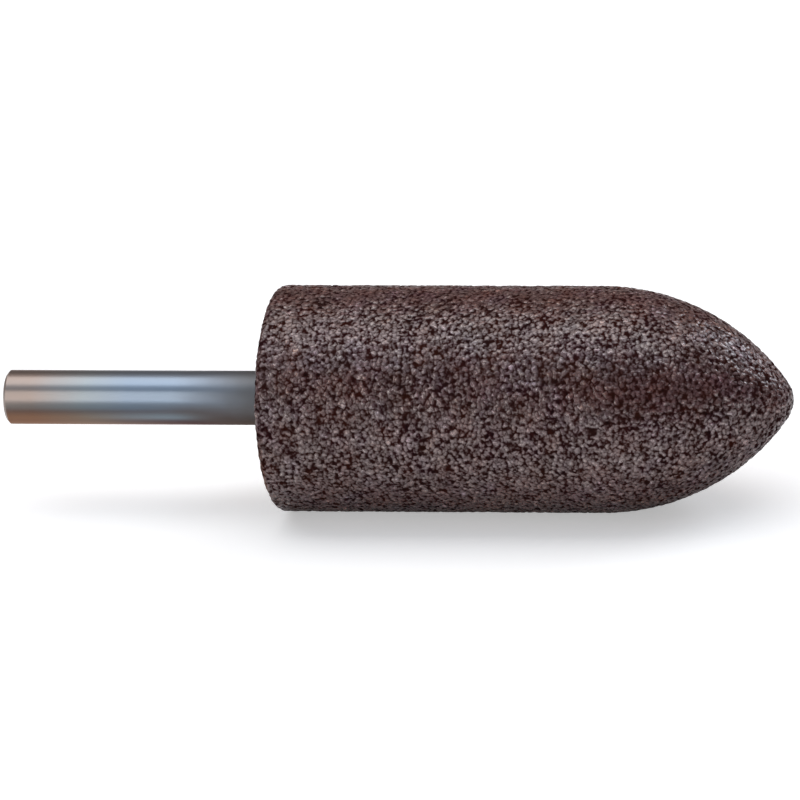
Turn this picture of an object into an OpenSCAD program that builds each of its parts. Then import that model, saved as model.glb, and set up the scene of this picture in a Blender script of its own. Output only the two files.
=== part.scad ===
// Mounted point: a bullet-shaped abrasive head cemented onto the grooved end of a plain steel shank.
// The spin axis lies along X, the tip points to +X and the shank leaves the head towards -X.
// The origin is the middle of the head's back face, where the free shank begins.

/* [Abrasive head] */
// Diameter of the straight part of the head
head_d = 25; // [18:0.5:40]
// Length of the head from its back face to its tip
head_len = 58; // [50:0.5:90]
// Radius of the long arc that closes the nose, tangent to the straight part
nose_arc_r = 26; // [22:0.5:60]
// Radius of the blunt tip, tangent to the long arc
tip_r = 3.5; // [1:0.25:6]
// Radius of the rounded rim of the back face
rim_r = 0.8; // [0.2:0.1:2]

/* [Shank] */
// Diameter of the ground shank
shank_d = 6; // [3:0.5:8]
// Length of the shank that stands free behind the head
shank_free_len = 31; // [20:0.5:60]
// Length of the shank that is set into the head
shank_set_len = 22; // [14:0.5:30]
// Chamfer on the free end of the shank
free_end_chamfer = 0.3; // [0.2:0.1:1]
// Chamfer on the set end of the shank
set_end_chamfer = 0.4; // [0.2:0.1:1]

/* [Keying grooves] */
// Width of each turned groove that the cement grips, the first one level with the back face
groove_w = 1.5; // [1:0.1:2.5]
// Depth of each groove
groove_depth = 0.4; // [0.2:0.05:0.6]
// Distance from the start of one groove to the start of the next
groove_pitch = 5; // [3.5:0.25:8]
// Shortest plain length left between the last groove and the set end
groove_end_land = 4; // [2:0.5:8]

/* [Cement] */
// Thickness of the cement between the shank and the wall of the blind bore
cement_film = 0.2; // [0.2:0.05:0.6]
// Thickness of the cement below the set end of the shank
cement_pad = 1; // [0.4:0.1:2]
// Size of the countersink at the mouth of the bore, filled level with cement
mouth_chamfer = 0.6; // [0.3:0.1:1.5]

/* [Hidden] */
$fn = 180;

// Head profile, with the radius along x and the distance from the back face along y
head_r = head_d / 2;
nose_offset = nose_arc_r - head_r;
nose_rise = sqrt(pow(nose_arc_r - tip_r, 2) - pow(nose_offset, 2));
straight_len = head_len - nose_rise - tip_r;

// Length of the long arc up to the plane where it shares one tangent with the tip's arc
arc_len = nose_rise * nose_arc_r / (nose_arc_r - tip_r);

// Bore and shank
shank_r = shank_d / 2;
bore_r = shank_r + cement_film;
bore_depth = shank_set_len + cement_pad;
groove_last_y = shank_set_len - groove_end_land - groove_w;

// Quarter disc that rounds the back rim, bounded by the two flats that it joins
module rim_corner() {
    intersection() {
        translate([head_r - rim_r, rim_r]) circle(r = rim_r);
        translate([head_r - rim_r, 0]) square(rim_r);
    }
}

// Long arc, standing on the end of the straight part
module nose_section() {
    intersection() {
        translate([-nose_offset, 0]) circle(r = nose_arc_r);
        square([head_r, arc_len]);
    }
}

// Cap of the blunt tip, standing on the end of the long arc
module tip_section() {
    intersection() {
        translate([0, nose_rise - arc_len]) circle(r = tip_r);
        square(tip_r);
    }
}

// Half section of the head without its bore
module head_section() {
    square([head_r - rim_r, rim_r]);
    rim_corner();
    translate([0, rim_r]) square([head_r, straight_len - rim_r]);
    translate([0, straight_len]) {
        nose_section();
        translate([0, arc_len]) tip_section();
    }
}

// Half section of the blind bore with its countersunk mouth
module bore_section() {
    polygon([
        [0, 0],
        [bore_r + mouth_chamfer, 0],
        [bore_r, mouth_chamfer],
        [bore_r, bore_depth],
        [0, bore_depth]
    ]);
}

// Half section of the shank with its chamfered ends and keying grooves
module shank_section() {
    difference() {
        polygon([
            [0, -shank_free_len],
            [shank_r - free_end_chamfer, -shank_free_len],
            [shank_r, free_end_chamfer - shank_free_len],
            [shank_r, shank_set_len - set_end_chamfer],
            [shank_r - set_end_chamfer, shank_set_len],
            [0, shank_set_len]
        ]);
        for (y = [0 : groove_pitch : groove_last_y])
            translate([shank_r - groove_depth, y]) square([2 * groove_depth, groove_w]);
    }
}

// Turns a half section about the spin axis and lays that axis along X
module turned() {
    rotate([0, 90, 0]) rotate_extrude() children();
}

// Bonded abrasive with a blind bore for the shank
module abrasive_head() {
    color([0.33, 0.27, 0.27])
        turned()
            difference() {
                head_section();
                bore_section();
            }
}

// Straight ground steel shank
module shank() {
    color([0.66, 0.70, 0.75])
        turned()
            shank_section();
}

// Cement that fills the bore around and below the shank, the grooves and the countersink
module cement() {
    color([0.42, 0.37, 0.33])
        turned()
            difference() {
                bore_section();
                shank_section();
            }
}

abrasive_head();
shank();
cement();
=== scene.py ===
"""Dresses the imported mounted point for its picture.

The head gets its grain, the shank its ground steel and the cement its sandy finish, on a pale studio floor.
"""

import logging
import math
from dataclasses import dataclass, field
from enum import Enum, IntEnum

import bpy
import numpy as np
from mathutils import Matrix, Vector


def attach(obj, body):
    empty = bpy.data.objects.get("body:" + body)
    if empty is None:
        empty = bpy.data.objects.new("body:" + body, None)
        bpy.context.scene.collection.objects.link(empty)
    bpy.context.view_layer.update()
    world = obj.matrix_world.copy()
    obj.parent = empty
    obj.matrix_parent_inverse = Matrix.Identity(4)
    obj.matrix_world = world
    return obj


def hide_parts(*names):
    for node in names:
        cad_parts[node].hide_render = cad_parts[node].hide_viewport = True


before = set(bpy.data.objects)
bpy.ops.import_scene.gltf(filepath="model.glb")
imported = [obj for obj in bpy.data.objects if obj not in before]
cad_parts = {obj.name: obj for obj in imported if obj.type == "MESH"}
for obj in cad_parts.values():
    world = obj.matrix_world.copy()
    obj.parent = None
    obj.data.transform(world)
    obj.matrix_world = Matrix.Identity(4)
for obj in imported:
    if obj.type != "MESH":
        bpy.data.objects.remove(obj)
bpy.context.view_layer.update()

MM = 0.001
LOG = logging.getLogger("mounted_point")

Socket = bpy.types.NodeSocket
Tree = bpy.types.NodeTree
Pair = tuple[float, float]
Point = tuple[float, float, float]
Stops = list[tuple[float, str]]

# Large odd numbers and shifts that stir the indices of a cell into a random number
ODD_FACTORS = np.array([0x9E3779B97F4A7C15, 0xC2B2AE3D27D4EB4F, 0x165667B19E3779F9], np.uint64)
STIRS = ((31, 0x7FB5D329728EA185), (27, 0x81DADEF4BC2DD44D), (33, 1))
SALT_STEP = 7919
KEPT_BITS = 53

# Share, first colour and second colour of a mix node that works on colours, and its result
MIX_INPUTS = (0, 6, 7)
MIX_RESULT = 2

# Watts that an area lamp takes for each unit of radiance and square metre
WATTS_PER_RADIANCE = 4.0

# Distance in millimetres below which two places count as one
CLOSE = 1e-6


class Node(Enum):
    """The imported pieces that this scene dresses."""

    HEAD = "abrasive_head"
    SHANK = "shank"
    CEMENT = "cement"


class Mark(Enum):
    """Values that the head's mesh carries from its grains to its material."""

    PIT = "pit_depth"
    TINT = "grain_tint"


class Salt(IntEnum):
    """Numbers that tell the grains' sets of random values apart."""

    PACKING = 11
    LEVEL = 31
    LEAN = 41
    DROPPED = 51
    TINT = 101


class Blend(Enum):
    """Ways to lay one colour over another."""

    MIX = "MIX"
    MULTIPLY = "MULTIPLY"
    OVERLAY = "OVERLAY"


def linear(code: str) -> tuple[float, float, float, float]:
    """Turns an sRGB hex colour into the linear colour that a shader takes.

    Args:
        code: Colour such as "#53443f".

    Returns:
        Linear red, green and blue, and an alpha of one.
    """
    rgb = np.array([int(code[i : i + 2], 16) for i in (1, 3, 5)]) / 255.0
    rgb = np.where(rgb <= 0.04045, rgb / 12.92, ((rgb + 0.055) / 1.055) ** 2.4)
    return (*rgb.tolist(), 1.0)


def add_node(tree: Tree, kind: str, settings: dict | None = None, links: dict | None = None) -> bpy.types.Node:
    """Adds one shader node with its settings and its incoming links.

    Args:
        tree: Node tree that takes the node.
        kind: Blender's name of the node type.
        settings: Property names or input sockets and their values; "stops" holds a ramp's places and hex colours.
        links: Input sockets and the output sockets that feed them.

    Returns:
        The new node.
    """
    node = tree.nodes.new(kind)
    for name, value in (settings or {}).items():
        if name == "stops":
            elements = node.color_ramp.elements
            elements.remove(elements[1])
            elements[0].position, elements[0].color = value[0][0], linear(value[0][1])
            for place, code in value[1:]:
                elements.new(place).color = linear(code)
        elif isinstance(name, str) and hasattr(node, name):
            setattr(node, name, value)
        else:
            node.inputs[name].default_value = value
    for name, source in (links or {}).items():
        tree.links.new(source, node.inputs[name])
    return node


def new_material(name: str) -> tuple[bpy.types.Material, Tree, bpy.types.Node]:
    """Starts a node material.

    Args:
        name: Name of the real material.

    Returns:
        The material, its node tree and its principled shader.
    """
    material = bpy.data.materials.new(name)
    material.use_nodes = True
    tree = material.node_tree
    return material, tree, tree.nodes["Principled BSDF"]


def noise(tree: Tree, place: Socket, size_mm: float, detail: float) -> bpy.types.Node:
    """Adds a soft random pattern.

    Args:
        tree: Node tree that takes the pattern.
        place: Socket with the place in space.
        size_mm: Usual distance from one soft spot to the next.
        detail: Number of finer layers on top.

    Returns:
        The pattern's node.
    """
    return add_node(tree, "ShaderNodeTexNoise", {"Scale": 1.0 / (size_mm * MM), "Detail": detail}, {"Vector": place})


def span(tree: Tree, value: Socket, source: Pair, target: Pair = (0.0, 1.0)) -> Socket:
    """Maps one range of a value onto another, and holds it at both ends.

    Args:
        tree: Node tree that takes the map.
        value: Socket with the value.
        source: Where the value's range starts and ends.
        target: What the ends of the range become.

    Returns:
        The socket that carries the mapped value.
    """
    settings = {"From Min": source[0], "From Max": source[1], "To Min": target[0], "To Max": target[1]}
    return add_node(tree, "ShaderNodeMapRange", settings, {"Value": value}).outputs["Result"]


def ramp(tree: Tree, value: Socket, stops: Stops) -> Socket:
    """Turns a value into a colour.

    Args:
        tree: Node tree that takes the ramp.
        value: Socket with the value.
        stops: Places from 0 to 1 and their hex colours.

    Returns:
        The socket that carries the colour.
    """
    return add_node(tree, "ShaderNodeValToRGB", {"stops": stops}, {"Fac": value}).outputs["Color"]


def combine(tree: Tree, operation: str, first: Socket, second: Socket | float) -> Socket:
    """Works out one number from two.

    Args:
        tree: Node tree that takes the sum.
        operation: Blender's name of the operation.
        first: Socket with the first number.
        second: Socket with the second number, or the number itself.

    Returns:
        The socket that carries the result.
    """
    settings, links = {"operation": operation}, {0: first}
    (links if isinstance(second, Socket) else settings)[1] = second
    return add_node(tree, "ShaderNodeMath", settings, links).outputs[0]


def blend(tree: Tree, kind: Blend, share: Socket | float, first: Socket, second: Socket | tuple) -> Socket:
    """Lays one colour over another.

    Args:
        tree: Node tree that takes the mix.
        kind: How the second colour is laid over the first.
        share: How much of it shows, from 0 to 1.
        first: Socket with the colour below.
        second: Socket with the colour on top, or the colour itself.

    Returns:
        The socket that carries the colour.
    """
    settings: dict = {"data_type": "RGBA", "blend_type": kind.value}
    links = {}
    for slot, value in zip(MIX_INPUTS, (share, first, second)):
        (links if isinstance(value, Socket) else settings)[slot] = value
    return add_node(tree, "ShaderNodeMix", settings, links).outputs[MIX_RESULT]


def mix_of(tree: Tree, start: float, shares: list[tuple[Socket, float]]) -> Socket:
    """Adds up several patterns, each by its own share.

    Args:
        tree: Node tree that takes the sum.
        start: Value before the first pattern is added.
        shares: Each pattern's socket and the number that it is multiplied by.

    Returns:
        The socket that carries the sum.
    """
    total = None
    for pattern, share in shares:
        settings = {"operation": "MULTIPLY_ADD", 1: share}
        links = {0: pattern}
        if total is None:
            settings[2] = start
        else:
            links[2] = total
        total = add_node(tree, "ShaderNodeMath", settings, links).outputs[0]
    return total


def lattice_random(cells: np.ndarray, salt: int) -> np.ndarray:
    """Gives each whole-number cell of space its own fixed random number.

    The three indices are multiplied by large odd numbers, summed with the salt and stirred by shifts and products.

    Args:
        cells: Whole-number cell indices, three to a row.
        salt: Number that tells one set of random values from another.

    Returns:
        One number from 0 to 1 for each row.
    """
    indices = cells.astype(np.int64).astype(np.uint64)
    salted = np.full(len(indices), salt * SALT_STEP + 1, np.uint64) * ODD_FACTORS[0]
    stirred = (indices * ODD_FACTORS).sum(axis=-1, dtype=np.uint64) + salted
    for shift, factor in STIRS:
        stirred = (stirred ^ (stirred >> np.uint64(shift))) * np.uint64(factor)
    return (stirred >> np.uint64(64 - KEPT_BITS)) / float(1 << KEPT_BITS)


def grain_cells(points: np.ndarray, size: float, salt: int) -> tuple[np.ndarray, np.ndarray, np.ndarray, np.ndarray]:
    """Packs space with grains: every cell holds one random grain centre, and each place belongs to the nearest.

    Args:
        points: Places in space, three numbers to a row.
        size: Usual distance from grain to grain, in the same unit.
        salt: Number that tells one packing from another.

    Returns:
        Distance to the nearest centre, distance to the next one, the nearest grain's cell, and the offset from
        its centre.
    """
    q = points / size
    base = np.floor(q)
    near = np.full(len(q), np.inf)
    after = np.full(len(q), np.inf)
    owner = np.zeros_like(q)
    offset = np.zeros_like(q)
    for corner in np.ndindex(3, 3, 3):
        cell = base + np.array(corner) - 1.0
        away = q - cell - np.stack([lattice_random(cell, salt + k) for k in range(3)], axis=1)
        distance = np.linalg.norm(away, axis=1)
        closer = distance < near
        after = np.where(closer, near, np.minimum(after, distance))
        near = np.where(closer, distance, near)
        owner = np.where(closer[:, None], cell, owner)
        offset = np.where(closer[:, None], away, offset)
    return near * size, after * size, owner, offset * size


def smooth_step(low: float, high: float, values: np.ndarray) -> np.ndarray:
    """Rises smoothly from 0 at low to 1 at high, as 3 t t - 2 t t t of the share t of the way.

    Args:
        low: Value where the rise starts.
        high: Value where the rise ends.
        values: Values to map.

    Returns:
        One number from 0 to 1 for each value.
    """
    t = np.clip((values - low) / (high - low), 0.0, 1.0)
    return t * t * (3.0 - 2.0 * t)


def mesh_object(
    name: str, points: np.ndarray, triangles: np.ndarray, marks: dict[Mark, np.ndarray]
) -> bpy.types.Object:
    """Makes a smooth mesh object at the origin.

    Args:
        name: Name of the piece.
        points: Vertices in millimetres.
        triangles: Vertex numbers, three to a row.
        marks: Values that each vertex carries for the material.

    Returns:
        The object, linked into the scene.
    """
    mesh = bpy.data.meshes.new(name)
    mesh.vertices.add(len(points))
    mesh.vertices.foreach_set("co", (points * MM).ravel())
    mesh.loops.add(triangles.size)
    mesh.loops.foreach_set("vertex_index", triangles.ravel().astype(np.int32))
    mesh.polygons.add(len(triangles))
    mesh.polygons.foreach_set("loop_start", np.arange(0, triangles.size, 3, dtype=np.int32))
    mesh.polygons.foreach_set("use_smooth", np.ones(len(triangles), bool))
    for mark, values in marks.items():
        mesh.attributes.new(mark.value, "FLOAT", "POINT").data.foreach_set("value", values.astype(np.float32))
    mesh.update(calc_edges=True)
    piece = bpy.data.objects.new(name, mesh)
    bpy.context.scene.collection.objects.link(piece)
    return piece


def sheet(name: str, x: Pair, y: Pair, z: float, slant: float = 0.0) -> bpy.types.Object:
    """Lays a flat four-cornered sheet that faces up.

    Args:
        name: Name of the sheet.
        x: Left and right end, in millimetres.
        y: Near and far end, in millimetres.
        z: Height, in millimetres.
        slant: How far a corner shifts along X for each millimetre of Y.

    Returns:
        The sheet's object.
    """
    corners = np.array([(x[0], y[0], z), (x[1], y[0], z), (x[1], y[1], z), (x[0], y[1], z)])
    corners[:, 0] += slant * corners[:, 1]
    return mesh_object(name, corners, np.array([(0, 1, 2), (0, 2, 3)]), {})


def facing(centre: Vector, back: Vector, tilt: float = 0.0) -> Matrix:
    """Stands a lamp or camera at a place, with its width along the spin axis.

    Args:
        centre: The place, in millimetres.
        back: Unit direction that its back points in.
        tilt: Turn about that direction, in radians.

    Returns:
        The object's matrix in metres.
    """
    right = (Vector((1.0, 0.0, 0.0)) - back * back.x).normalized()
    right = Matrix.Rotation(tilt, 3, back) @ right
    turned = Matrix((right, back.cross(right), back)).transposed().to_4x4()
    return Matrix.Translation(centre * MM) @ turned


@dataclass(frozen=True)
class BondedAbrasive:
    """Brown fused alumina grain in a dark fired bond, moulded and left as it came from the mould."""

    pore: str = "#2b1a19"
    bond: str = "#3e2320"
    grain_dark: str = "#4c2825"
    grain: str = "#623531"
    grain_light: str = "#784843"
    facet: str = "#986a62"
    # Colour of the painted glints
    painted_glint: str = "#cab1aa"
    rust: str = "#8d7a5a"
    even: str = "#808080"
    violet: str = "#7c7a9a"
    blush: str = "#ffecec"
    ash: str = "#f1ffff"
    crumb_mm: float = 0.41
    ragged_mm: float = 0.6
    facet_mm: float = 0.5
    scatter: float = 0.85
    widest_gap: float = 0.74
    patch_mm: float = 4.0
    tint_mm: float = 3.2
    calm_mm: float = 3.2
    bump_mm: float = 0.12
    refraction: float = 1.76

    def tone(self, tree: Tree, place: Socket, pit: Socket) -> Socket:
        """Draws the crumbs: low in the dark gaps between them, high on their clean faces, with a few painted glints.

        Args:
            tree: Node tree of the material.
            place: Socket with the place in space.
            pit: Socket with the depth of the moulded pits, which darkens the tone as painted shade.

        Returns:
            The socket that carries the tone, about 0 to 1.
        """
        crumbs = noise(tree, place, self.crumb_mm, 0.4)
        # Broken grain faces with ragged edges
        ragged = add_node(
            tree,
            "ShaderNodeVectorMath",
            {"operation": "MULTIPLY_ADD", 1: (self.ragged_mm * MM,) * 3},
            {0: crumbs.outputs["Color"], 2: place},
        )
        faces = add_node(
            tree,
            "ShaderNodeTexVoronoi",
            {"Scale": 1.0 / (self.facet_mm * MM), "Randomness": self.scatter},
            {"Vector": ragged.outputs[0]},
        )
        # Gaps between the crumbs, no darker where the crumbs lie far apart
        gaps = combine(tree, "MINIMUM", faces.outputs["Distance"], self.widest_gap)
        # Stretches of the stone that are a little more open or closed
        patches = noise(tree, place, self.patch_mm, 2.0)
        # Calm spots where the skin has closed over, between livelier ones
        calm = noise(tree, place, self.calm_mm, 1.0)
        gain = span(tree, calm.outputs["Fac"], (0.35, 0.65), (0.4, 0.85))
        swing = combine(tree, "SUBTRACT", crumbs.outputs["Fac"], 0.5)
        lively = combine(tree, "MULTIPLY", swing, gain)
        # Painted glints: a few grains lifted towards the brightest colour, as if clean crystal faces caught the light
        painted_glint_share = span(tree, faces.outputs["Color"], (0.91, 0.94), (0.0, 0.3))
        shares = [
            (lively, 1.0),
            (faces.outputs["Color"], 0.1),
            (gaps, -0.9),
            (patches.outputs["Fac"], 0.2),
            (painted_glint_share, 1.0),
            # Painted shade: the deeper the moulded pit, the darker the tone
            (pit, -0.07),
        ]
        return mix_of(tree, 0.838, shares)

    def colour(self, tree: Tree, place: Socket, tint: Socket, tone: Socket) -> Socket:
        """Colours the crumbs by their tone, with grains and areas that lean to another hue.

        Args:
            tree: Node tree of the material.
            place: Socket with the place in space.
            tint: Socket with the random number of each moulded grain.
            tone: Socket with the tone.

        Returns:
            The socket that carries the colour.
        """
        stops = [
            (0.05, self.pore),
            (0.22, self.bond),
            (0.38, self.grain_dark),
            (0.54, self.grain),
            (0.70, self.grain_light),
            (0.84, self.facet),
            # The top stop is the colour of the painted glints
            (0.97, self.painted_glint),
        ]
        crumbs = ramp(tree, tone, stops)
        # Single grains and small areas lean to rust brown or to a cold violet grey
        area = noise(tree, place, self.tint_mm, 2.0)
        side = mix_of(tree, -1.0, [(tint, 0.4), (area.outputs["Fac"], 2.6)])
        lean = ramp(tree, side, [(0.1, self.rust), (0.45, self.even), (0.6, self.even), (0.95, self.violet)])
        tinted = blend(tree, Blend.OVERLAY, 0.7, crumbs, lean)
        # Other areas where the fired bond is a little redder or greyer
        fired = add_node(tree, "ShaderNodeSeparateColor", {}, {0: area.outputs["Color"]})
        bloom = ramp(tree, fired.outputs["Green"], [(0.34, self.ash), (0.66, self.blush)])
        return blend(tree, Blend.MULTIPLY, 1.0, tinted, bloom)

    def material(self) -> bpy.types.Material:
        """Makes the material: dark pores between grey-brown crumbs of grain, with a few painted glints.

        Returns:
            The material for the head.
        """
        material, tree, shader = new_material("bonded_brown_alumina_as_moulded")
        place = add_node(tree, "ShaderNodeTexCoord").outputs["Object"]
        pit = add_node(tree, "ShaderNodeAttribute", {"attribute_name": Mark.PIT.value}).outputs["Fac"]
        tint = add_node(tree, "ShaderNodeAttribute", {"attribute_name": Mark.TINT.value}).outputs["Fac"]
        tone = self.tone(tree, place, pit)
        colour = self.colour(tree, place, tint, tone)
        gloss = span(tree, tone, (0.2, 0.85), (0.46, 0.24))
        # Pores swallow the shine that grain tops give back
        shine = span(tree, tone, (0.32, 0.82))
        bump = add_node(tree, "ShaderNodeBump", {"Strength": 0.5, "Distance": self.bump_mm * MM}, {"Height": tone})
        tree.links.new(colour, shader.inputs["Base Color"])
        tree.links.new(gloss, shader.inputs["Roughness"])
        tree.links.new(shine, shader.inputs["Specular IOR Level"])
        tree.links.new(bump.outputs["Normal"], shader.inputs["Normal"])
        shader.inputs["IOR"].default_value = self.refraction
        return material


@dataclass(frozen=True)
class GroundSteel:
    """Carbon steel rod, centreless ground, warmer at its free end as a painted reflection of a brown table, and duller
    and darker near the stone, where the darkening is painted shade.
    """

    bright: str = "#959da2"
    cold: str = "#8d9bab"
    # Warm painted reflection at the free end
    painted_warm_reflection: str = "#9c8f88"
    # Painted shade just before the stone
    painted_shade_by_stone: str = "#737578"
    line_mm: float = 0.12
    line_squeeze: float = 0.02
    ring_mm: float = 0.5
    ring_share: float = 0.18
    face_mm: float = 0.1
    cloud_mm: float = 2.5
    bump_mm: float = 0.01
    free_end: float = -31.0

    def material(self) -> bpy.types.Material:
        """Makes the material: clear long reflections, warmer at the free end as a painted reflection, and dull and
        darker just before the stone, the darkening being painted shade.

        Returns:
            The material for the shank.
        """
        material, tree, shader = new_material("carbon_steel_centreless_ground")
        place = add_node(tree, "ShaderNodeTexCoord").outputs["Object"]
        x = add_node(tree, "ShaderNodeSeparateXYZ", {}, {0: place}).outputs["X"]
        squeezed = add_node(tree, "ShaderNodeMapping", {"Scale": (self.line_squeeze, 1.0, 1.0)}, {"Vector": place})
        # Grinding lines, drawn coarser than real so that they show
        lines = noise(tree, squeezed.outputs["Vector"], self.line_mm, 3.0).outputs["Fac"]
        cloud = noise(tree, place, self.cloud_mm, 2.0).outputs["Fac"]
        # From 0 at the free end to 1 at the stone, with cloudy edges
        length = -self.free_end * MM
        run = mix_of(tree, 0.97, [(x, 1.0 / length), (cloud, 0.06)])
        stops = [
            # Painted reflection: the free end is warmer, as if it mirrored a brown table
            (0.0, self.painted_warm_reflection),
            (0.10, self.painted_warm_reflection),
            (0.30, self.bright),
            (0.46, self.cold),
            (0.62, self.cold),
            # Painted shade: darker just before the stone
            (0.9, self.painted_shade_by_stone),
        ]
        base = ramp(tree, run, stops)
        dull = span(tree, run, (0.66, 0.95), (0.0, 0.26))
        rough = mix_of(tree, 0.268, [(lines, 0.03), (dull, 1.0)])
        # Facing rings of the cutter, drawn coarser than real, on the end face alone
        rings = add_node(
            tree,
            "ShaderNodeTexWave",
            {
                "wave_type": "RINGS",
                "rings_direction": "X",
                "Scale": math.pi / (10.0 * self.ring_mm * MM),
                "Distortion": 0.6,
            },
            {"Vector": place},
        )
        face = ((self.free_end + self.face_mm) * MM, self.free_end * MM)
        faced = span(tree, x, face, (0.0, self.ring_share))
        ringed = blend(tree, Blend.MULTIPLY, faced, base, rings.outputs["Color"])
        bump = add_node(tree, "ShaderNodeBump", {"Strength": 0.1, "Distance": self.bump_mm * MM}, {"Height": lines})
        tree.links.new(ringed, shader.inputs["Base Color"])
        tree.links.new(rough, shader.inputs["Roughness"])
        tree.links.new(bump.outputs["Normal"], shader.inputs["Normal"])
        shader.inputs["Metallic"].default_value = 1.0
        return material


@dataclass(frozen=True)
class FilledCement:
    """Mineral-filled cement, pressed flush into the mouth of the bore and set hard."""

    light: str = "#6e6259"
    dark: str = "#43382f"
    sand_mm: float = 0.15
    bump_mm: float = 0.05
    roughness: float = 0.85

    def material(self) -> bpy.types.Material:
        """Makes the material: a dull, fine sandy ring between the bright steel and the dark stone.

        Returns:
            The material for the cement.
        """
        material, tree, shader = new_material("filled_cement_set_flush")
        place = add_node(tree, "ShaderNodeTexCoord").outputs["Object"]
        sand = noise(tree, place, self.sand_mm, 4.0).outputs["Fac"]
        colour = ramp(tree, sand, [(0.3, self.dark), (0.7, self.light)])
        bump = add_node(tree, "ShaderNodeBump", {"Strength": 0.5, "Distance": self.bump_mm * MM}, {"Height": sand})
        tree.links.new(colour, shader.inputs["Base Color"])
        tree.links.new(bump.outputs["Normal"], shader.inputs["Normal"])
        shader.inputs["Roughness"].default_value = self.roughness
        return material


@dataclass(frozen=True)
class StudioPaper:
    """Matt white paper that the point lies on."""

    white: str = "#f0f0ef"
    glow: str = "#ffffff"
    lift: float = 0.42
    shade_mm: Pair = (6.0, 16.0)
    mirrored: Pair = (0.2, 0.9)
    roughness: float = 0.9
    sheen: float = 0.1

    def material(self) -> bpy.types.Material:
        """Makes the material: white to the eye and in reflections, with the object's shadow kept and a painted shade
        under the stone in reflections.

        Returns:
            The material for the floor.
        """
        material, tree, shader = new_material("matt_white_paper")
        rays = add_node(tree, "ShaderNodeLightPath").outputs
        place = add_node(tree, "ShaderNodeTexCoord").outputs["Object"]
        y = add_node(tree, "ShaderNodeSeparateXYZ", {}, {0: place}).outputs["Y"]
        aside = add_node(tree, "ShaderNodeMath", {"operation": "ABSOLUTE"}, {0: y}).outputs[0]
        # Painted shade: reflections see less of the paper's glow in a strip right under the stone
        glow_outside_painted_shade = span(tree, aside, (self.shade_mm[0] * MM, self.shade_mm[1] * MM), self.mirrored)
        reflected = combine(tree, "MULTIPLY", rays["Is Glossy Ray"], glow_outside_painted_shade)
        seen = combine(tree, "MAXIMUM", rays["Is Camera Ray"], reflected)
        strength = combine(tree, "MULTIPLY", seen, self.lift)
        tree.links.new(strength, shader.inputs["Emission Strength"])
        shader.inputs["Base Color"].default_value = linear(self.white)
        shader.inputs["Emission Color"].default_value = linear(self.glow)
        shader.inputs["Roughness"].default_value = self.roughness
        shader.inputs["Specular IOR Level"].default_value = self.sheen
        return material


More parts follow.
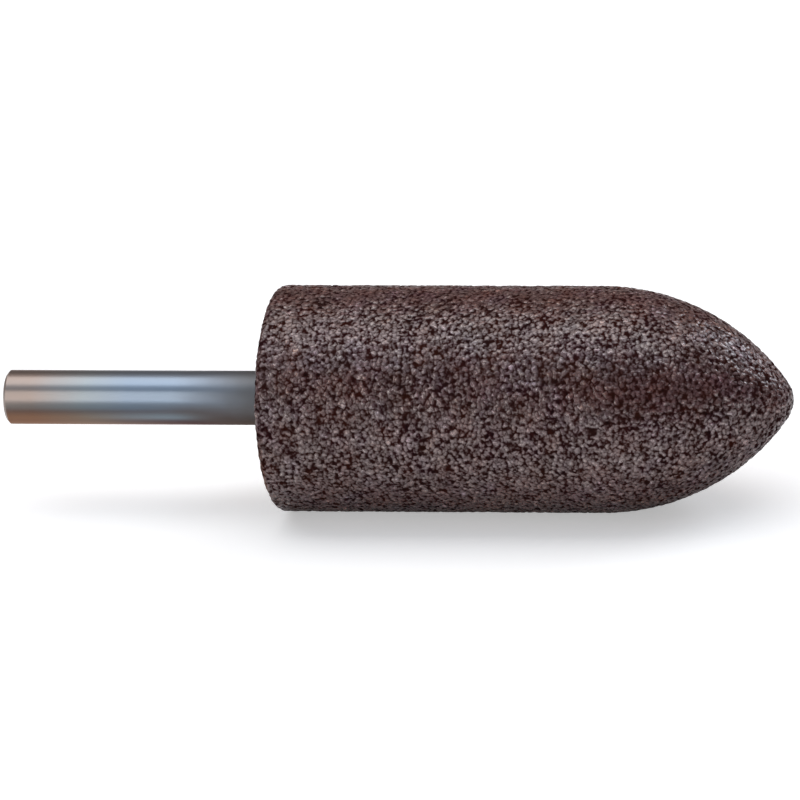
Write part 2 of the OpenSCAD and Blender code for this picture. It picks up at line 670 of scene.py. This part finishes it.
@dataclass
class AbrasiveHead:
    """The bullet-shaped head with its blind bore, in millimetres."""

    diameter: float = 25.0
    length: float = 58.0
    nose_arc: float = 26.0
    tip: float = 3.5
    rim: float = 0.8
    bore: float = 6.4
    bore_depth: float = 23.0
    mouth: float = 0.6
    step: float = 0.245
    bore_end_step: float = 1.6
    bore_step: float = 2.0
    mouth_step: float = 0.5
    columns: int = 320
    grain: float = 0.72
    gap_share: float = 0.42
    grain_rise: float = 0.02
    unevenness: float = 0.05
    gap_depth: float = 0.09
    lean: float = 0.12
    drop: float = 0.08
    dropped_share: float = 0.07
    deepest: float = 0.22
    full_pit: float = 0.16
    calm_edge: float = 0.5
    finish: BondedAbrasive = field(default_factory=BondedAbrasive)

    def profile(self) -> tuple[np.ndarray, np.ndarray]:
        """Walks the half section from the bottom of the bore, out of its mouth, round the rim and along to the tip.

        Straight runs are stepped evenly. The nose is an arc about a centre below the axis, and the tip an arc
        about the axis.

        Returns:
            Places (distance along the axis, radius), and the outward normal at each place.
        """
        r, b = self.diameter / 2.0, self.bore / 2.0
        below = self.nose_arc - r
        rise = math.sqrt((self.nose_arc - self.tip) ** 2 - below**2)
        straight = self.length - rise - self.tip
        turn = math.asin(rise / (self.nose_arc - self.tip))
        runs: list[tuple[np.ndarray, np.ndarray]] = []

        def line(start: Pair, end: Pair, normal: Pair, step: float) -> None:
            """Adds a straight run without its last place.

            Args:
                start: First place.
                end: Place that the run stops short of.
                normal: Outward normal of the run.
                step: Usual distance from place to place.
            """
            count = max(1, round(math.dist(start, end) / step))
            t = np.linspace(0.0, 1.0, count, endpoint=False)[:, None]
            runs.append(((1.0 - t) * np.array(start) + t * np.array(end), np.tile(normal, (count, 1))))

        def arc(centre: Pair, radius: float, first: float, last: float, closed: bool) -> None:
            """Adds an arc, by the angle of its normal from the radius direction towards the tip.

            Args:
                centre: Centre of the arc.
                radius: Radius of the arc.
                first: Angle at its start.
                last: Angle at its end.
                closed: Whether the last place belongs to it.
            """
            count = max(3, round(radius * abs(last - first) / self.step))
            a = np.linspace(first, last, count + closed, endpoint=closed)
            normal = np.stack([np.sin(a), np.cos(a)], axis=1)
            runs.append((np.array(centre) + radius * normal, normal))

        slope = -math.sqrt(0.5)
        line((self.bore_depth, 0.0), (self.bore_depth, b), (-1.0, 0.0), self.bore_end_step)
        line((self.bore_depth, b), (self.mouth, b), (0.0, -1.0), self.bore_step)
        line((self.mouth, b), (0.0, b + self.mouth), (slope, slope), self.mouth_step)
        line((0.0, b + self.mouth), (0.0, r - self.rim), (-1.0, 0.0), self.step)
        arc((self.rim, r - self.rim), self.rim, -math.pi / 2.0, 0.0, False)
        line((self.rim, r), (straight, r), (0.0, 1.0), self.step)
        arc((straight, -below), self.nose_arc, 0.0, turn, False)
        arc((straight + rise, 0.0), self.tip, turn, math.pi / 2.0, True)
        return np.concatenate([run[0] for run in runs]), np.concatenate([run[1] for run in runs])

    def surface(self) -> tuple[np.ndarray, np.ndarray, np.ndarray]:
        """Turns the profile about the axis.

        x is the distance along the axis, and y and z are the radius times the cosine and the sine of the angle.

        Returns:
            Vertices, their outward normals, and triangles that close the two poles.
        """
        places, normals = self.profile()
        angle = np.linspace(0.0, 2.0 * math.pi, self.columns, endpoint=False)
        around = np.stack([np.zeros_like(angle), np.cos(angle), np.sin(angle)], axis=1)
        axis = np.array([1.0, 0.0, 0.0])
        rows = slice(1, -1)
        points = places[rows, :1, None] * axis + places[rows, 1:, None] * around
        outward = normals[rows, :1, None] * axis + normals[rows, 1:, None] * around
        points = np.concatenate([[places[0, 0] * axis], points.reshape(-1, 3), [places[-1, 0] * axis]])
        outward = np.concatenate([[-axis], outward.reshape(-1, 3), [axis]])
        count = len(places) - 2
        grid = 1 + np.arange(count * self.columns).reshape(count, self.columns)
        following = np.roll(grid, -1, axis=1)
        a, b, c, d = grid[:-1].ravel(), following[:-1].ravel(), following[1:].ravel(), grid[1:].ravel()
        flip = (np.add.outer(np.arange(count - 1), np.arange(self.columns)).ravel() % 2 == 0)[:, None]
        first = np.where(flip, np.stack([a, b, c], axis=1), np.stack([a, b, d], axis=1))
        second = np.where(flip, np.stack([a, c, d], axis=1), np.stack([b, c, d], axis=1))
        low = np.stack([np.zeros(self.columns, int), following[0], grid[0]], axis=1)
        high = np.stack([grid[-1], following[-1], np.full(self.columns, len(points) - 1)], axis=1)
        return points, outward, np.concatenate([low, first, second, high])

    def grains(self, points: np.ndarray) -> tuple[np.ndarray, np.ndarray, np.ndarray]:
        """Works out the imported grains: flat tops at the moulded skin, gaps down to the bond, some grains dropped out.

        The height is a small rise, less a random level, less the gap's depth away from the grain's body, plus the
        lean times the offset from the grain's centre, less the drop where a grain is missing.

        Args:
            points: Vertices in millimetres.

        Returns:
            Height below the moulded skin, the depth of the pit from 0 to 1, and the tint of the grain.
        """
        near, after, owner, offset = grain_cells(points, self.grain, Salt.PACKING)
        body = smooth_step(0.0, self.gap_share * self.grain, after - near)
        level = lattice_random(owner, Salt.LEVEL)
        leans = np.stack([lattice_random(owner, Salt.LEAN + k) for k in range(3)], axis=1) - 0.5
        slope = (leans * offset).sum(axis=1) / self.grain
        dropped = lattice_random(owner, Salt.DROPPED) < self.dropped_share
        height = self.grain_rise - self.unevenness * level - self.gap_depth * (1.0 - body)
        height = height + self.lean * slope - self.drop * dropped * body
        height = np.clip(height, -self.deepest, 0.0)
        tint = lattice_random(owner, Salt.TINT)
        return height, np.clip(-height / self.full_pit, 0.0, 1.0), tint

    def build(self) -> bpy.types.Object:
        """Builds the grained head, smooth inside its bore, and hands it to the frame in place of the plain solid.

        Returns:
            The head's object.
        """
        points, outward, triangles = self.surface()
        height, pit, tint = self.grains(points)
        radius = np.linalg.norm(points[:, 1:], axis=1)
        edge = self.bore / 2.0 + self.mouth
        inside = (points[:, 0] <= self.bore_depth + CLOSE) & (radius <= edge + CLOSE)
        back_face = np.where(points[:, 0] < CLOSE, smooth_step(edge, edge + self.calm_edge, radius), 1.0)
        cover = np.where(inside, 0.0, back_face)
        moved = points + outward * (height * cover)[:, None]
        piece = mesh_object("abrasive_head_grained", moved, triangles, {Mark.PIT: pit * cover, Mark.TINT: tint})
        piece.data.materials.append(self.finish.material())
        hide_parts(Node.HEAD.value)
        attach(piece, "root")
        LOG.info("%s: %d triangles, %.3f mm deepest pit", piece.name, len(triangles), -height.min())
        return piece


@dataclass
class Shank:
    """The steel shank and the cement around it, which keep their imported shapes."""

    steel: GroundSteel = field(default_factory=GroundSteel)
    cement: FilledCement = field(default_factory=FilledCement)

    def dress(self) -> None:
        """Gives the shank its ground steel and the cement its sandy finish."""
        for node, finish in ((Node.SHANK, self.steel), (Node.CEMENT, self.cement)):
            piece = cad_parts[node.value]
            piece.data.materials.clear()
            piece.data.materials.append(finish.material())
            LOG.info("%s: dressed as %s", node.value, piece.data.materials[0].name)


@dataclass(frozen=True)
class Softbox:
    """A plain rectangular soft light, in millimetres."""

    name: str
    centre: Point
    aim: Point
    width: float
    height: float
    radiance: float
    colour: str

    def place(self) -> None:
        """Hangs the light at its centre, facing its aim, with its width along the spin axis."""
        lamp = bpy.data.lights.new(self.name, "AREA")
        lamp.shape = "RECTANGLE"
        lamp.size, lamp.size_y = self.width * MM, self.height * MM
        lamp.energy = WATTS_PER_RADIANCE * self.radiance * lamp.size * lamp.size_y
        lamp.color = linear(self.colour)[:3]
        holder = bpy.data.objects.new(self.name, lamp)
        back = (Vector(self.centre) - Vector(self.aim)).normalized()
        holder.matrix_world = facing(Vector(self.centre), back)
        holder.visible_camera = False
        bpy.context.scene.collection.objects.link(holder)
        LOG.info("%s: radiance %.2f", self.name, self.radiance)


@dataclass(frozen=True)
class ReflectionCard:
    """A card that only shiny surfaces see and that glows, laid so that the steel's lower side shows a painted
    reflection of a dark table.
    """

    ends: Pair = (-38.0, -3.0)
    slant: float = 0.252
    lift_mm: float = 0.3
    reach: Pair = (-195.0, 15.0)
    places: tuple[float, float, float, float] = (-26.0, -15.6, -5.3, -1.1)
    # Colours of the painted reflection of the table
    front: str = "#b1bac0"
    gap: str = "#98847f"
    streak: tuple[str, str] = ("#d3b097", "#dfe8e4")
    under: tuple[str, str] = ("#cba792", "#865f5d")
    blend_x: Pair = (-24.5, -12.5)
    # Colour of the painted shade of the stone
    shade: str = "#a88b7b"
    shade_x: Pair = (-13.5, -8.5)
    dark: str = "#000000"

    def material(self) -> bpy.types.Material:
        """Makes the material, a painted reflection: brown below the shank, a dark line in front of it and blue grey
        farther out.

        Returns:
            The material for the card.
        """
        material, tree, shader = new_material("glowing_reflection_card")
        place = add_node(tree, "ShaderNodeTexCoord").outputs["Object"]
        split = add_node(tree, "ShaderNodeSeparateXYZ", {}, {0: place}).outputs
        low, high = self.places[0], self.places[-1]
        across = span(tree, split["Y"], (low * MM, high * MM))
        straightened = mix_of(tree, 0.0, [(split["X"], 1.0), (split["Y"], -self.slant)])
        along = span(tree, straightened, (self.blend_x[0] * MM, self.blend_x[1] * MM))
        ends = []
        for streak, under_shank in zip(self.streak, self.under):
            colours = (self.front, self.gap, streak, under_shank)
            stops = [((spot - low) / (high - low), code) for spot, code in zip(self.places, colours)]
            ends.append(ramp(tree, across, stops))
        painted = blend(tree, Blend.MIX, along, ends[0], ends[1])
        # Painted shade of the stone, on the end of the card nearest the stone
        close = span(tree, straightened, (self.shade_x[0] * MM, self.shade_x[1] * MM))
        shaded = blend(tree, Blend.MIX, close, painted, linear(self.shade))
        tree.links.new(shaded, shader.inputs["Emission Color"])
        shader.inputs["Base Color"].default_value = linear(self.dark)
        shader.inputs["Specular IOR Level"].default_value = 0.0
        shader.inputs["Emission Strength"].default_value = 1.0
        return material

    def place(self, floor_z: float) -> None:
        """Lays the card just above the floor, slanted to follow the camera's side view.

        Args:
            floor_z: Height of the floor, in millimetres.
        """
        # A glowing sheet that carries the painted reflection
        card = sheet("reflection_card_sheet", self.ends, self.reach, floor_z + self.lift_mm, self.slant)
        card.data.materials.append(self.material())
        card.visible_camera = card.visible_diffuse = card.visible_shadow = card.visible_transmission = False
        LOG.info("%s: for reflections alone", card.name)


@dataclass
class Studio:
    """The floor, the lights, the surrounding room and the camera."""

    floor_z: float = -12.5
    floor_half: float = 4000.0
    room_front: str = "#e1eeff"
    room_back: str = "#e9dcd8"
    room_y: Pair = (-0.5, 0.5)
    room_strength: Pair = (0.19, 0.77)
    room_z: Pair = (0.62, 0.87)
    horizon: float = 0.45
    horizon_z: Pair = (0.04, 0.2)
    back_wall: float = 0.09
    back_wall_y: Pair = (0.2, 0.7)
    target: Point = (13.54, -0.04, -0.16)
    yaw: float = 14.15
    elevation: float = 20.0
    tilt: float = 0.261
    distance: float = 2500.0
    view_width: float = 88.09
    sensor: float = 36.0
    clip_m: Pair = (0.05, 50.0)
    paper: StudioPaper = field(default_factory=StudioPaper)
    card: ReflectionCard = field(default_factory=ReflectionCard)
    lights: tuple[Softbox, ...] = (
        Softbox("key_softbox", (-150.0, 30.0, 400.0), (-150.0, 30.0, 0.0), 900.0, 320.0, 0.93, "#ffffff"),
        Softbox("shank_softbox", (-98.0, -255.8, 114.1), (-16.0, 0.0, 0.0), 65.0, 218.0, 1.75, "#fffaf6"),
        Softbox("nose_softbox", (287.0, 245.0, 210.0), (50.0, 0.0, 5.0), 200.0, 180.0, 2.85, "#e9f3ff"),
    )

    def floor(self) -> None:
        """Lays the white paper under the head."""
        sides = (-self.floor_half, self.floor_half)
        paper = sheet("floor", sides, sides, self.floor_z)
        paper.data.materials.append(self.paper.material())
        LOG.info("%s: at %.1f mm", paper.name, self.floor_z)

    def surroundings(self) -> None:
        """Fills the room with soft light: cool in front and warmer behind, brightest from above and at the horizon."""
        world = bpy.data.worlds.new("room")
        world.use_nodes = True
        tree = world.node_tree
        background = tree.nodes["Background"]
        direction = add_node(tree, "ShaderNodeTexCoord").outputs["Generated"]
        split = add_node(tree, "ShaderNodeSeparateXYZ", {}, {0: direction}).outputs
        across = span(tree, split["Y"], self.room_y)
        colour = ramp(tree, across, [(0.0, self.room_front), (1.0, self.room_back)])
        upward = span(tree, split["Z"], self.room_z, self.room_strength)
        level = span(tree, split["Z"], self.horizon_z, (self.horizon, 0.0))
        behind = span(tree, split["Y"], self.back_wall_y, (0.0, self.back_wall))
        strength = mix_of(tree, 0.0, [(part, 1.0) for part in (upward, level, behind)])
        tree.links.new(colour, background.inputs["Color"])
        tree.links.new(strength, background.inputs["Strength"])
        bpy.context.scene.world = world

    def camera(self) -> None:
        """Sets the camera on the tip's side, rolled so that the spin axis lies level in the picture."""
        sine = math.sin(math.radians(self.yaw)) / math.cos(math.radians(self.elevation))
        azimuth, elevation = math.asin(sine), math.radians(self.elevation)
        level = math.cos(elevation)
        back = Vector((math.sin(azimuth) * level, -math.cos(azimuth) * level, math.sin(elevation)))
        lens = bpy.data.cameras.new("camera")
        lens.sensor_width = self.sensor
        lens.lens = lens.sensor_width * self.distance / self.view_width
        lens.clip_start, lens.clip_end = self.clip_m
        holder = bpy.data.objects.new("camera", lens)
        place = Vector(self.target) + back * self.distance
        holder.matrix_world = facing(place, back, math.radians(self.tilt))
        bpy.context.scene.collection.objects.link(holder)
        bpy.context.scene.camera = holder

    def build(self) -> None:
        """Lays the floor, hangs the lights and sets the camera."""
        self.floor()
        self.card.place(self.floor_z)
        self.surroundings()
        for light in self.lights:
            light.place()
        self.camera()
        bpy.context.scene.view_settings.view_transform = "Standard"
        LOG.info("studio: %d lights", len(self.lights))


def main() -> None:
    """Builds the head, dresses the shank and its cement, and sets up the studio."""
    logging.basicConfig(level=logging.INFO, format="%(name)s: %(message)s")
    AbrasiveHead().build()
    Shank().dress()
    Studio().build()


if __name__ == "__main__":
    main()
